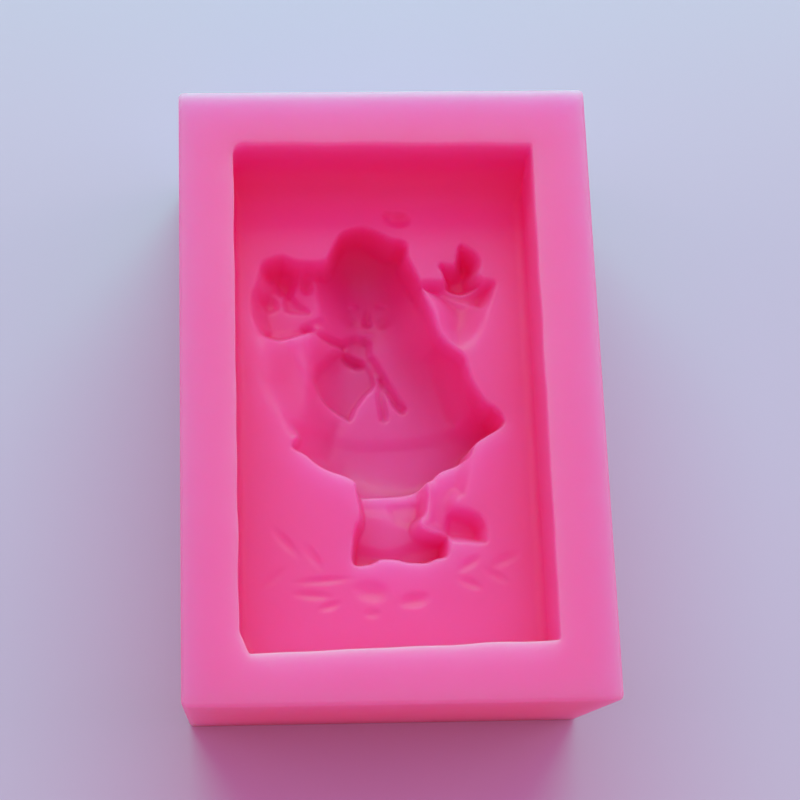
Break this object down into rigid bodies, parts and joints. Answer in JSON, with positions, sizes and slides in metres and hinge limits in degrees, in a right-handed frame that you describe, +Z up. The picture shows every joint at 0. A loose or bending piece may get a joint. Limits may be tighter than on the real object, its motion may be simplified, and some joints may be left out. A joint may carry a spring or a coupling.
{
  "type": "silicone soap mould",
  "caption": "One-piece rectangular silicone mould with a bar-shaped basin and a winter figure sunk in its floor.",
  "frame": {"origin": "middle of the base, at the bottom of the block", "axes": "+Z up out of the basin, +Y along the block towards the figure's cap, +X to the figure's raised mitten"},
  "size_m": [0.066, 0.0992, 0.04],
  "materials": {
    "silicone": "satin"
  },
  "bodies": {
    "root": {"mould_body": "silicone"}
  },
  "joints": []
}
